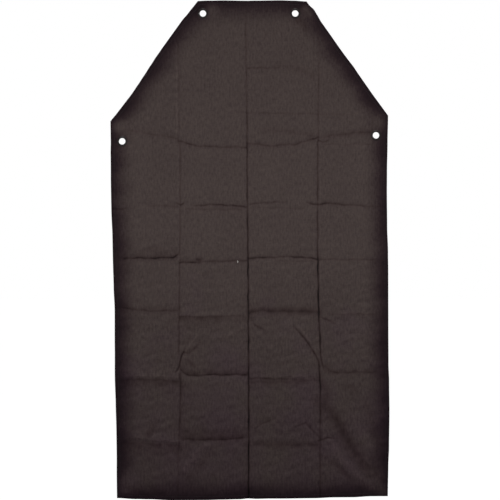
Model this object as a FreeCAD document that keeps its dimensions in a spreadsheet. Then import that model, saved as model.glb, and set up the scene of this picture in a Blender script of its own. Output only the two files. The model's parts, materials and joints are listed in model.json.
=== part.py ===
"""Bib-shaped lead apron: two cloth covers sewn round two plies of lead-loaded vinyl, with four eyelets.

The apron hangs upright in the XZ plane. The wearer's back of it faces +Y, its front faces -Y, and +Z is up.
The origin is midway between the two neck eyelets, at the middle of the sheet's thickness.
Every layer is cut at three upright creases into four strips, because each strip folds on its own.
Left and right are those of someone who looks at the front.
"""
import FreeCAD
import Part
import Sketcher
import os

SIZES = [
    # outline corners: distance from the origin sideways, and height
    ("top_left_x", -110),
    ("top_left_z", 26),
    ("top_right_x", 124),
    ("top_right_z", 25),
    ("shoulder_left_x", -299),
    ("shoulder_left_z", -234),
    ("shoulder_right_x", 301),
    ("shoulder_right_z", -221),
    ("hem_left_x", -286),
    ("hem_left_z", -1050),
    ("hem_right_x", 300),
    ("hem_right_z", -1046),
    # layers
    ("cover_thickness", 0.5),
    ("ply_thickness", 0.5),
    ("allowance_width", 12),
    ("seam_inset", 7),
    ("thread_width", 0.8),
    ("thread_height", 0.25),
    # upright creases and the half-gap that leaves room to fold at each
    ("crease_left_x", -151),
    ("crease_centre_x", -3),
    ("crease_right_x", 150),
    ("crease_gap", 3),
    ("beyond_outline", 400),
    # eyelets
    ("neck_left_x", -100),
    ("neck_right_x", 100),
    ("neck_z", 0),
    ("waist_left_x", -275),
    ("waist_left_z", -277),
    ("waist_right_x", 275),
    ("waist_right_z", -264),
    ("eyelet_radius", 7),
    ("barrel_wall", 0.5),
    ("flange_radius", 11.5),
    ("flange_height", 1.2),
    ("flange_dome_radius", 7),
    ("mouth_round", 0.8),
    ("lip_width", 1.9),
    ("lip_radius", 1),
    ("washer_radius", 11),
    ("washer_thickness", 0.6),
    ("washer_clearance", 0.05),
    ("washer_round", 0.4),
    ("patch_radius", 17),
    ("patch_clearance", 0.2),
]

# the outline's corners, clockwise from the top left, and the eyelets, as pairs of cells
CORNERS = ["top_left", "top_right", "shoulder_right", "hem_right", "hem_left", "shoulder_left"]
EYELETS = {
    "neck_left": ("neck_left_x", "neck_z"),
    "neck_right": ("neck_right_x", "neck_z"),
    "waist_left": ("waist_left_x", "waist_left_z"),
    "waist_right": ("waist_right_x", "waist_right_z"),
}

# each strip of the sheet and its two sides
STRIPS = {
    "left_wing": ("-Sizes.beyond_outline", "Sizes.crease_left_x - Sizes.crease_gap"),
    "left_centre": ("Sizes.crease_left_x + Sizes.crease_gap", "Sizes.crease_centre_x - Sizes.crease_gap"),
    "right_centre": ("Sizes.crease_centre_x + Sizes.crease_gap", "Sizes.crease_right_x - Sizes.crease_gap"),
    "right_wing": ("Sizes.crease_right_x + Sizes.crease_gap", "Sizes.beyond_outline"),
}

# how far the front face is from the middle of the sheet, and the radii of the holes
FRONT_FACE = "(Sizes.ply_thickness + Sizes.cover_thickness)"
BARREL_RADIUS = "(Sizes.eyelet_radius + Sizes.barrel_wall)"
PATCH_HOLE = "(Sizes.patch_radius + Sizes.patch_clearance)"

doc = FreeCAD.newDocument("lead_apron")
sheet = doc.addObject("Spreadsheet::Sheet", "Sizes")


def fill_sheet():
    for row, (alias, value) in enumerate(SIZES, start=1):
        sheet.set(f"A{row}", alias)
        sheet.set(f"B{row}", str(value))
        sheet.setAlias(f"B{row}", alias)
    doc.recompute()


def point_on(x, y):
    """The sketch point at two expressions, as it stands now."""
    return FreeCAD.Vector(sheet.evalExpression(x), sheet.evalExpression(y), 0)


def add_body(label):
    body = doc.addObject("PartDesign::Body", label)
    body.Label = label
    return body


def add_sketch(body, role, forward="0"):
    """A sketch on one of the body's own planes. On XZ_Plane, forward lifts it towards the apron's front."""
    sketch = body.newObject("Sketcher::SketchObject", f"{body.Name}_sketch")
    plane = next(feature for feature in body.Origin.OriginFeatures if feature.Role == role)
    sketch.AttachmentSupport = [(plane, "")]
    sketch.MapMode = "FlatFace"
    sketch.setExpression("AttachmentOffset.Base.z", forward)
    return sketch


def bind(sketch, constraint, expression):
    index = sketch.addConstraint(constraint)
    name = f"size_{index}"
    sketch.renameConstraint(index, name)
    sketch.setExpression(f"Constraints.{name}", expression)


def pin_start(sketch, edge, x, y):
    """Holds an edge's first end at two expressions."""
    here = point_on(x, y)
    bind(sketch, Sketcher.Constraint("DistanceX", -1, 1, edge, 1, here.x), x)
    bind(sketch, Sketcher.Constraint("DistanceY", -1, 1, edge, 1, here.y), y)


def close_loop(sketch, edges):
    for edge, following in zip(edges, edges[1:] + edges[:1]):
        sketch.addConstraint(Sketcher.Constraint("Coincident", edge, 2, following, 1))


def draw_outline(sketch):
    """The apron's six-sided outline. Returns its edges."""
    ends = [(f"Sizes.{corner}_x", f"Sizes.{corner}_z") for corner in CORNERS]
    edges = []
    for start, end in zip(ends, ends[1:] + ends[:1]):
        edges.append(sketch.addGeometry(Part.LineSegment(point_on(*start), point_on(*end))))
    close_loop(sketch, edges)
    for edge, start in zip(edges, ends):
        pin_start(sketch, edge, *start)
    return edges


def draw_inset_outline(sketch, inset):
    """A second outline inside the first, with every edge parallel to the apron's edge and inset from it."""
    outer = draw_outline(sketch)
    for edge in outer:
        sketch.setConstruction(edge, True)
    lines = [sketch.Geometry[edge] for edge in outer]
    distance = sheet.evalExpression(inset)
    inner = []
    for line in lines:
        along = (line.EndPoint - line.StartPoint).normalize()
        inward = FreeCAD.Vector(along.y, -along.x, 0) * distance
        start = line.StartPoint + along * distance + inward
        end = line.EndPoint - along * distance + inward
        inner.append(sketch.addGeometry(Part.LineSegment(start, end)))
    close_loop(sketch, inner)
    for edge, beside in zip(inner, outer):
        sketch.addConstraint(Sketcher.Constraint("Parallel", edge, beside))
        bind(sketch, Sketcher.Constraint("Distance", edge, 1, beside, distance), inset)


def draw_circle(sketch, x, y, radius):
    size = sheet.evalExpression(radius)
    circle = Part.Circle(point_on(x, y), FreeCAD.Vector(0, 0, 1), size)
    edge = sketch.addGeometry(circle)
    here = point_on(x, y)
    bind(sketch, Sketcher.Constraint("DistanceX", -1, 1, edge, 3, here.x), x)
    bind(sketch, Sketcher.Constraint("DistanceY", -1, 1, edge, 3, here.y), y)
    bind(sketch, Sketcher.Constraint("Radius", edge, size), radius)


def draw_profile(sketch, corners):
    """A closed profile. Each corner is (x, y, bulge radius of the edge that leaves it, or None for a line)."""
    edges = []
    for (x, y, bulge), (next_x, next_y, _) in zip(corners, corners[1:] + corners[:1]):
        start = point_on(x, y)
        end = point_on(next_x, next_y)
        shape = Part.LineSegment(start, end)
        if bulge:
            shape = bulging_arc(start, end, sheet.evalExpression(bulge))
        edges.append(sketch.addGeometry(shape))
    for number, (edge, following) in enumerate(zip(edges, edges[1:] + edges[:1])):
        first_end = end_code(corners[number][2], leaving=False)
        second_end = end_code(corners[(number + 1) % len(corners)][2], leaving=True)
        sketch.addConstraint(Sketcher.Constraint("Coincident", edge, first_end, following, second_end))
    for edge, (x, y, bulge) in zip(edges, corners):
        here = point_on(x, y)
        code = end_code(bulge, leaving=True)
        bind(sketch, Sketcher.Constraint("DistanceX", -1, 1, edge, code, here.x), x)
        bind(sketch, Sketcher.Constraint("DistanceY", -1, 1, edge, code, here.y), y)
        if bulge:
            bind(sketch, Sketcher.Constraint("Radius", edge, sheet.evalExpression(bulge)), bulge)


def end_code(bulge, leaving):
    """Sketcher's number for an edge's end. A bulging arc is stored anticlockwise, so its ends are swapped."""
    if bulge:
        return 2 if leaving else 1
    return 1 if leaving else 2


def bulging_arc(start, end, radius):
    """The short arc between two points of a profile that runs clockwise, on the profile's outer side."""
    half = (end - start) * 0.5
    outward = FreeCAD.Vector(-half.y, half.x, 0).normalize()
    drop = (radius ** 2 - half.Length ** 2) ** 0.5
    crown = start + half + outward * (radius - drop)
    return Part.Arc(start, crown, end)


def pad(body, sketch, thickness):
    feature = body.newObject("PartDesign::Pad", f"{body.Name}_pad")
    feature.Profile = sketch
    feature.setExpression("Length", thickness)
    doc.recompute()


def cut_through(body, sketch):
    """Cuts a sketch right through the body, both ways, and makes sure that it cut something."""
    before = body.Shape.Volume
    feature = body.newObject("PartDesign::Pocket", f"{body.Name}_pocket")
    feature.Profile = sketch
    feature.Midplane = True
    feature.Type = "ThroughAll"
    doc.recompute()
    if not body.Shape.Volume < before:
        raise ValueError(f"{body.Label}: the pocket cuts nothing")


def punch(body, radius):
    """One round hole through the body at each eyelet."""
    sketch = add_sketch(body, "XZ_Plane")
    for x, z in EYELETS.values():
        draw_circle(sketch, f"Sizes.{x}", f"Sizes.{z}", radius)
    cut_through(body, sketch)


def whole_layer(label, back, thickness, inset=None):
    """One uncut layer of the apron: back is how far its rear face is in front of the sheet's middle."""
    body = add_body(label)
    sketch = add_sketch(body, "XZ_Plane", back)
    if inset:
        draw_inset_outline(sketch, inset)
    else:
        draw_outline(sketch)
    pad(body, sketch, thickness)
    return body


def open_middle(body, inset):
    """Leaves only a border of the layer, inset wide."""
    sketch = add_sketch(body, "XZ_Plane")
    draw_inset_outline(sketch, inset)
    cut_through(body, sketch)


def cover(label, back):
    body = whole_layer(label, back, "Sizes.cover_thickness")
    punch(body, BARREL_RADIUS)
    return body


def lead_ply(label, back):
    """Lead-loaded vinyl, cut to fit inside the turned allowance and clear of the eyelet patches."""
    body = whole_layer(label, back, "Sizes.ply_thickness", "Sizes.allowance_width")
    punch(body, PATCH_HOLE)
    return body


def turned_allowance():
    """The covers' edges, turned in between them all round and stitched down."""
    body = whole_layer("turned_allowance", "-Sizes.ply_thickness", "2 * Sizes.ply_thickness")
    open_middle(body, "Sizes.allowance_width")
    punch(body, PATCH_HOLE)
    return body


def edge_seam(label, back):
    """One row of thread that runs round the apron on one of its faces."""
    body = whole_layer(label, back, "Sizes.thread_height", "Sizes.seam_inset")
    open_middle(body, "Sizes.seam_inset + Sizes.thread_width")
    return body


def strip_zones():
    """A tall box round each strip of the sheet, to cut the layers with."""
    zones = {}
    for strip, (left, right) in STRIPS.items():
        zone = doc.addObject("Part::Box", f"zone_{strip}")
        zone.setExpression("Length", f"{right} - ({left})")
        zone.setExpression("Width", "2 * Sizes.beyond_outline")
        zone.setExpression("Height", "4 * Sizes.beyond_outline")
        zone.setExpression("Placement.Base.x", left)
        zone.setExpression("Placement.Base.y", "-Sizes.beyond_outline")
        zone.setExpression("Placement.Base.z", "-3 * Sizes.beyond_outline")
        zones[strip] = zone
    return zones


def cut_into_strips(layer, zones):
    """The layer's part in each strip, as an object of its own."""
    pieces = []
    for strip, zone in zones.items():
        label = f"{layer.Label}_{strip}"
        piece = doc.addObject("Part::Common", label)
        piece.Label = label
        piece.Base = layer
        piece.Tool = zone
        pieces.append(piece)
    return pieces


def place_at_eyelet(body, eyelet):
    x, z = EYELETS[eyelet]
    body.setExpression("Placement.Base.x", f"Sizes.{x}")
    body.setExpression("Placement.Base.z", f"Sizes.{z}")


def revolve(body, corners):
    """Turns a profile of radius against depth about the body's Y axis."""
    sketch = add_sketch(body, "XY_Plane")
    draw_profile(sketch, corners)
    feature = body.newObject("PartDesign::Revolution", f"{body.Name}_turned")
    feature.Profile = sketch
    feature.ReferenceAxis = (sketch, ["V_Axis"])
    feature.Angle = 360
    doc.recompute()


def grommet(eyelet):
    """A flange with a domed front, a barrel through the sheet, and a lip rolled over the washer behind."""
    body = add_body(f"grommet_{eyelet}")
    rim = f"-({FRONT_FACE} + Sizes.flange_height)"
    behind = f"({FRONT_FACE} + Sizes.washer_thickness)"
    revolve(body, [
        ("Sizes.eyelet_radius", behind, "Sizes.lip_radius"),
        ("Sizes.eyelet_radius + Sizes.lip_width", behind, None),
        (BARREL_RADIUS, behind, None),
        (BARREL_RADIUS, f"-{FRONT_FACE}", None),
        ("Sizes.flange_radius", f"-{FRONT_FACE}", "Sizes.flange_dome_radius"),
        ("Sizes.eyelet_radius + Sizes.mouth_round", rim, "Sizes.mouth_round"),
        ("Sizes.eyelet_radius", f"{rim} + Sizes.mouth_round", None),
    ])
    place_at_eyelet(body, eyelet)
    return body


def washer(eyelet):
    """A flat ring with a rounded rim, clamped under the grommet's lip."""
    body = add_body(f"washer_{eyelet}")
    inner = f"{BARREL_RADIUS} + Sizes.washer_clearance"
    behind = f"({FRONT_FACE} + Sizes.washer_thickness)"
    revolve(body, [
        (inner, behind, None),
        ("Sizes.washer_radius - Sizes.washer_round", behind, "Sizes.washer_round"),
        ("Sizes.washer_radius", f"{behind} - Sizes.washer_round", None),
        ("Sizes.washer_radius", FRONT_FACE, None),
        (inner, FRONT_FACE, None),
    ])
    place_at_eyelet(body, eyelet)
    return body


def patch(eyelet):
    """A disc of webbing between the covers, which carries the eyelet in place of the soft lead vinyl."""
    body = add_body(f"patch_{eyelet}")
    sketch = add_sketch(body, "XZ_Plane", "-Sizes.ply_thickness")
    draw_circle(sketch, "0", "0", "Sizes.patch_radius")
    draw_circle(sketch, "0", "0", BARREL_RADIUS)
    pad(body, sketch, "2 * Sizes.ply_thickness")
    place_at_eyelet(body, eyelet)
    return body


def check_document():
    """Stops at any object that FreeCAD left failed."""
    for made in doc.Objects:
        if {"Invalid", "Error"} & set(made.State):
            raise ValueError(f"{made.Label} failed: {made.State}")


def export(pieces):
    os.makedirs("parts", exist_ok=True)
    for piece in pieces:
        if piece.Shape.isNull() or not piece.Shape.isValid() or not piece.Shape.Solids:
            raise ValueError(f"{piece.Label} has no valid solid")
    for piece in pieces:
        piece.Shape.exportStep(f"parts/{piece.Label}.step")
        print(f"{piece.Label}: {len(piece.Shape.Solids)} solid(s), {piece.Shape.Volume:.1f} mm3")


def main():
    fill_sheet()
    layers = [
        cover("front_cover", "Sizes.ply_thickness"),
        lead_ply("lead_ply_front", "0"),
        lead_ply("lead_ply_back", "-Sizes.ply_thickness"),
        cover("back_cover", f"-{FRONT_FACE}"),
        turned_allowance(),
        edge_seam("front_seam", FRONT_FACE),
        edge_seam("back_seam", f"-{FRONT_FACE} - Sizes.thread_height"),
    ]
    zones = strip_zones()
    pieces = []
    for layer in layers:
        pieces += cut_into_strips(layer, zones)
    for eyelet in EYELETS:
        pieces += [grommet(eyelet), washer(eyelet), patch(eyelet)]
    doc.recompute()
    check_document()
    export(pieces)


main()
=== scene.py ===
"""The looks of a thin, dark, creased lead apron that hangs by its eyelets.

Every layer of cloth and vinyl is cut flat, as a mesh over the apron's outline, then given the same relief of
folds, so that the layers stay one on another. A layer is three pieces side by side, each crossing one upright
crease, because a piece can bend over one joint only. Lengths are in millimetres until a mesh is made.
"""
import json
import math

import bmesh
import bpy
import numpy as np
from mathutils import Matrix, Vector
from mathutils.geometry import convex_hull_2d


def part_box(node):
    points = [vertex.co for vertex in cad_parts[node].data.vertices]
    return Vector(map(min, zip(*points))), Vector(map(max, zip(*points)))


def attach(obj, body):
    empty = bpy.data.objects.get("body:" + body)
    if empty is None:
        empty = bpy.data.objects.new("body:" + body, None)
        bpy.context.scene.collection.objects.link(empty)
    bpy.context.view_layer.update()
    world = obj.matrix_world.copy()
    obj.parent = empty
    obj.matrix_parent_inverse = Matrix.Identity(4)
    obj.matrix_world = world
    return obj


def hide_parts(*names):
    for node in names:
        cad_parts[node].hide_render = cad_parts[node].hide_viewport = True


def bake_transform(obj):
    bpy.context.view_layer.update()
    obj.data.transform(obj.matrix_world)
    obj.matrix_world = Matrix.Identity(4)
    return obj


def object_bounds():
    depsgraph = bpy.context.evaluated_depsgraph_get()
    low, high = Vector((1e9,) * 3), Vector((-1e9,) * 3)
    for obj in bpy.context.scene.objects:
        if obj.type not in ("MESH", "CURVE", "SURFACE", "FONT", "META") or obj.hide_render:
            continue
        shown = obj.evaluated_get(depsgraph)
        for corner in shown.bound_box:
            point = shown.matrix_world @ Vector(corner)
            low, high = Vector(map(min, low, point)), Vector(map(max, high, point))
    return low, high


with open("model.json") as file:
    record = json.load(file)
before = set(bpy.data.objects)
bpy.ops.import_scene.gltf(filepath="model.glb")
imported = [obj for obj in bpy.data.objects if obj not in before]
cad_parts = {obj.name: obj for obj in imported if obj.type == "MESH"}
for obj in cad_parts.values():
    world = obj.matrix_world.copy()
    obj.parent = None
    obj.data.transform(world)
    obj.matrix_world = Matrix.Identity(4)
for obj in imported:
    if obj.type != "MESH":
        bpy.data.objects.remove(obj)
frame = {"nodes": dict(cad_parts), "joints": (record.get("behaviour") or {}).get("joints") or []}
cad_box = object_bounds()

MM = 0.001
STRIPS = ["left_wing", "left_centre", "right_centre", "right_wing"]
EYELETS = ["neck_left", "neck_right", "waist_left", "waist_right"]

# each third of a layer: the two bodies that it spans, and the joint between them
THIRDS = {
    "left": ("left_wing", "left_centre", "left_crease"),
    "middle": ("left_centre", "right_centre", "centre_crease"),
    "right": ("right_centre", "right_wing", "right_crease"),
}
# how far the cloth bends to each side of a crease
MIDDLE_BEND = 20
THREAD_WIDTH = 0.8
# hull points nearer than this are one point, and a corner turns by more than this, in square millimetres
SAME_POINT = 1
CORNER_TURN = 500


# ---- sizes read from the frame ----

def flat_corners():
    """The outline's corners in millimetres, as (x, z), clockwise from the top left."""
    points = []
    for strip in STRIPS:
        mesh = frame["nodes"][f"front_cover_{strip}"].data
        points += [(v.co.x / MM, v.co.z / MM) for v in mesh.vertices]
    hull = []
    for number in convex_hull_2d([Vector(p) for p in points]):
        if not hull or math.dist(hull[-1], points[number]) > SAME_POINT:
            hull.append(points[number])
    corners = []
    for before, here, after in zip(hull[-1:] + hull[:-1], hull, hull[1:] + hull[:1]):
        turn = (here[0] - before[0]) * (after[1] - here[1]) - (here[1] - before[1]) * (after[0] - here[0])
        if abs(turn) > CORNER_TURN:
            corners.append(np.array(here))
    middle = sum(corners) / len(corners)
    corners.sort(key=lambda p: -math.atan2(p[1] - middle[1], p[0] - middle[0]))
    first = min(range(len(corners)), key=lambda i: np.hypot(*(corners[i] - (cad_left, cad_top))))
    return corners[first:] + corners[:first]


def middle_of(node):
    low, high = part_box(node)
    return np.array(((low.x + high.x) / 2 / MM, (low.z + high.z) / 2 / MM))


def radius_of(node):
    low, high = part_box(node)
    return (high.x - low.x) / 2 / MM


front_low, front_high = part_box("front_cover_left_centre")
cad_left = front_low.x / MM
cad_top = front_high.z / MM
HALF = -front_low.y / MM
COVER = (front_high.y - front_low.y) / MM
PLY = HALF - COVER
SEAM = front_high.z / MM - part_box("front_seam_left_centre")[1].z / MM + THREAD_WIDTH / 2
ALLOWANCE = front_high.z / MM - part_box("lead_ply_front_left_centre")[1].z / MM
PATCH = radius_of("patch_neck_left")
FLANGE = radius_of("grommet_neck_left")
CORNERS = flat_corners()
CENTRES = {eyelet: middle_of(f"grommet_{eyelet}") for eyelet in EYELETS}
CREASES = {joint["name"]: joint["pos_m"][0] / MM for joint in frame["joints"]}
SPLITS = [(CREASES["left_crease"] + CREASES["centre_crease"]) / 2,
          (CREASES["centre_crease"] + CREASES["right_crease"]) / 2]
THIRD_EDGES = [-math.inf, *SPLITS, math.inf]


# ---- the folds ----

# Each fold: height of the relief (a ridge towards the front is positive), how far it reaches, how dark its
# painted line of shade is, how dark its painted soft shade is (below 0, each is a painted highlight), and its
# points as (x, z, strength). Last, where the painted shade isn't on both sides, is the side that it is on
# (ABOVE is also the right-hand side of an upright fold).
ABOVE, BELOW = 1, -1
UPRIGHT_FOLDS = [
    (-1.3, 9, 0.88, 0.03, [(-8, 30, 0.06), (-7.5, -8, 0.08), (-7, -28, 0.28), (-5.9, -144, 0.31),
        (-4.8, -205, 0.37), (-4.5, -230, 0.56), (-3.9, -404, 0.7), (-2.9, -480, 0.8), (-2.2, -560, 1),
        (-1, -790, 0.88), (-0.8, -902, 1), (-1.2, -1060, 1.1)]),
    (1, 5, -0.18, 0, [(-156.5, -30, 0.4), (-156.5, -80, 0.8), (-156.5, -256, 1)]),
    (0, 5, 0.15, 0, [(-152, -60, 0.4), (-152, -120, 1), (-152, -260, 1)]),
    (0.3, 3, -0.05, 0, [(0.6, -160, 0.6), (0.8, -250, 1), (1.2, -404, 1), (2.6, -560, 0.8),
        (4.6, -640, 0.5)]),
    (0.3, 3, -0.05, 0, [(-153.8, -300, 1), (-153.2, -400, 1), (-153.8, -512, 0.9), (-155.6, -600, 0.6)]),
    (0.3, 3, -0.05, 0, [(154, -265, 0.5), (153.2, -330, 1), (153.2, -500, 1), (154.4, -545, 0.6),
        (156.2, -642, 0.5)]),
    (-0.7, 6, 0.5, 0.02, [(-155, -258, 0.3), (-149.5, -290, 0.5), (-149.5, -400, 0.48), (-150, -512, 0.54),
        (-151, -600, 0.6), (-152, -700, 0.75), (-152.5, -733, 0.5), (-152, -745, 0.1), (-150, -770, 0.2),
        (-149, -784, 0.9), (-148.5, -830, 0.85), (-151, -902, 0.7), (-154, -960, 0.4), (-154, -1055, 0.3)]),
    (0, 10, 0, 0.12, [(-150, -790, 0.6), (-150, -860, 1), (-152, -930, 0.6), (-153, -1000, 0.3)], ABOVE),
    (-1.2, 7, 0.95, 0.04, [(151, -60, 0.1), (150.8, -118, 0.18), (149.5, -265, 0.26), (148.6, -300, 0.46),
        (148.3, -500, 0.52), (149, -545, 0.95), (150.6, -642, 1), (153.4, -703, 0.8), (155, -733, 0.66),
        (156, -752, 0.6), (160, -765, 0.6), (165, -777, 0.3)]),
    (-1.2, 7, 0.95, 0.04, [(96, -676, 0.08), (105, -686, 0.34), (117.5, -701, 0.62), (129.5, -718, 0.74),
        (145, -740, 0.74), (150, -752, 0.62), (151.6, -763, 0.7), (153.6, -787, 0.85), (154.4, -820, 0.72),
        (153.8, -902, 0.4), (154, -1055, 0.4)]),
    (0, 8, 0, 0.1, [(154, -800, 0.8), (154, -900, 1), (154, -1000, 0.6)], ABOVE),
]
LEVEL_FOLDS = [
    # first row, below the neck
    (-0.6, 5, 0.3, 0.07, [(-2, -118, 1), (30, -118, 0.7), (67, -117, 0.3)]),
    (-0.4, 9, 0, 0.12, [(60, -112, 0.4), (100, -118, 0.8), (136, -135, 1)]),
    (-0.3, 5, 0.16, 0, [(-40, -213, 0.4), (2, -215, 1), (110, -217, 1), (219, -219, 0.6)]),
    # second row, from eyelet to eyelet, bowed down in the middle
    (-0.8, 7, 0.15, 0.09, [(-270, -250, 0.4), (-249, -255, 0.7), (-200, -263, 0.8), (-156, -270, 1)]),
    (-1, 6, 0.44, 0.12, [(-153, -275, 0.8), (-134, -282, 1), (-118, -286, 0.7), (-70, -289, 0.6),
        (-6, -290, 0.6)]),
    (-0.8, 6, 0.26, 0.12, [(-2, -281, 0.9), (45, -287, 1), (100, -283, 1), (141, -272, 1)]),
    (-0.4, 9, 0.04, 0.1, [(32, -252, 0.6), (90, -256, 0.9), (145, -266, 1)]),
    (-0.9, 8, 0.18, 0.2, [(158, -268, 0.6), (200, -262, 0.9), (262, -256, 1)]),
    (-0.3, 5, 0.16, 0, [(165, -284, 0.8), (262, -283, 0.8)]),
    (-0.4, 3, 0.5, 0, [(138, -273, 0.8), (149, -267, 1)]),
    (-0.4, 3, 0.5, 0, [(151, -274, 1), (160, -279, 1), (172, -275, 0.6)]),
    # third row
    (-0.4, 6, 0.18, 0.05, [(-219, -416, 0.6), (-158, -418, 1)]),
    (-0.4, 3, 0.5, 0, [(-157, -410, 0.8), (-149, -415, 1), (-142, -411, 0.8)]),
    (-1.2, 6, 0.52, 0.14, [(-126, -416, 0.3), (-95, -415, 0.8), (-60, -414, 1), (-30, -417, 1),
        (-7, -419, 1)], BELOW),
    (-0.6, 5, 0.34, 0.06, [(-296, -424, 1), (-274, -424, 0.9), (-262, -421, 0.3)]),
    (-0.3, 5, 0.16, 0.03, [(-136, -424, 0.8), (-20, -425, 0.9)]),
    (-0.6, 5, 0.28, 0.03, [(2, -413, 1), (60, -408, 0.9), (78, -411, 0.6)]),
    (-0.3, 5, 0.16, 0, [(10, -420, 0.8), (120, -423, 0.8)]),
    (-0.5, 4, 0.5, 0.04, [(126, -410, 0.5), (138, -413, 1), (148, -414, 1)]),
    (-1.2, 6, 0.5, 0.12, [(150, -414, 1), (162, -411, 1), (219, -415, 0.7), (284, -419, 0.2)]),
    # fourth row
    (-1.4, 7, 0.66, 0.24, [(-270, -530, 0.7), (-210, -530, 1), (-165, -529, 1), (-155, -521, 0.7)]),
    (0, 8, 0, 0.1, [(-240, -522, 0.5), (-222, -513, 1), (-200, -510, 1), (-182, -518, 0.7)]),
    (-1, 6, 0.52, 0.13, [(-150, -539.5, 1), (-122, -540, 1), (-104, -538, 0.4), (-60, -536.5, 0.6),
        (-5, -535.5, 0.6)]),
    (0, 5, 0, 0.72, [(-111, -532.5, 1), (-107, -532.5, 1)]),
    (-1.2, 6, 0.62, 0.1, [(-2, -530, 1), (20, -530, 0.9), (46, -528, 0.9), (60, -528, 0.4), (84, -527, 0.6),
        (100, -527, 1), (147, -532, 1)]),
    (-0.3, 5, 0.16, 0, [(60, -536, 0.8), (140, -537, 0.8)]),
    (-0.6, 6, 0.28, 0.03, [(152, -533, 0.9), (276, -533, 0.8)]),
    # fifth row
    (-1, 8, 0.32, 0.18, [(-296, -637, 0.7), (-262, -638, 1), (-252, -642, 0.7), (-200, -645, 1),
        (-156, -643, 0.8)]),
    (1.4, 8, 0.32, 0.3, [(-149, -656, 0.8), (-130, -657, 1), (-100, -657, 1), (-66, -656, 0.7),
        (-50, -655, 0.4), (-7, -655, 0.4)], BELOW),
    (0, 4, 0, 0.22, [(-72, -659, 1), (-70, -666, 0.8)]),
    (-1.4, 8, 0.22, 0.36, [(0, -648, 0.9), (25, -644, 0.9), (50, -645, 1), (78, -646, 1), (100, -645, 1.1),
        (148, -647.5, 1)]),
    (0.7, 6, 0.2, 0.04, [(176, -652, 0.5), (215, -651, 1), (272, -651, 0.9)]),
    (-0.4, 4, 0.34, 0, [(156, -657, 0.9), (171, -665, 1), (186, -672, 0.8)]),
    # sixth row
    (1.8, 7, -0.1, -0.04, [(-272, -785, 0.8), (-200, -786, 1), (-156, -787, 0.9)], ABOVE),
    (-0.6, 8, 0.24, 0.34, [(-262, -793, 0.9), (-200, -794, 1), (-152, -797, 1)], BELOW),
    (-1.3, 6, 0.56, 0.32, [(-149, -771, 0.7), (-141, -780, 1), (-130, -785, 0.9), (-105, -784, 0.8),
        (-85, -783, 1), (-60, -783, 1), (-6, -783, 0.8)], ABOVE),
    (0.7, 3, -0.1, 0, [(4, -786, 1), (60, -787, 1), (116, -786, 1), (148, -787, 0.7)]),
    (-0.5, 7, 0.14, 0.17, [(2, -799, 0.8), (40, -799, 1), (80, -799, 1), (112, -797, 0.9), (152, -794, 0.6)]),
    (-0.4, 4, 0.32, 0.06, [(3, -790.5, 1), (40, -791.5, 0.9), (80, -792.5, 0.7), (124, -794, 0.3)]),
    (-0.9, 6, 0.26, 0.2, [(166, -764, 0.8), (175, -776, 1), (190, -779, 1), (206, -778, 0.9),
        (276, -777, 0.7)]),
    # seventh row
    (1.7, 7, -0.06, -0.06, [(-256, -918, 0.4), (-226, -921, 0.8), (-200, -924, 1), (-156, -927, 1.1)], ABOVE),
    (-0.5, 9, 0.1, 0.34, [(-268, -930, 1), (-226, -931, 0.9), (-200, -934, 0.9), (-154, -935, 1)], BELOW),
    (-1.4, 9, 0.34, 0.34, [(-142, -923, 0.8), (-80, -924, 1.1), (-30, -922, 1.2), (-14, -920, 0.8)], ABOVE),
    (0, 6, 0, 0.16, [(-142, -923, 0.8), (-80, -924, 1), (-30, -922, 1), (-9, -922, 0.5)], BELOW),
    (-0.8, 9, 0.08, 0.2, [(10, -934, 0.8), (70, -935, 1), (146, -936, 0.9)]),
    (-0.6, 5, 0.5, 0.06, [(150, -925, 1), (168, -920, 1), (190, -921, 0.5)]),
]
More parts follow.
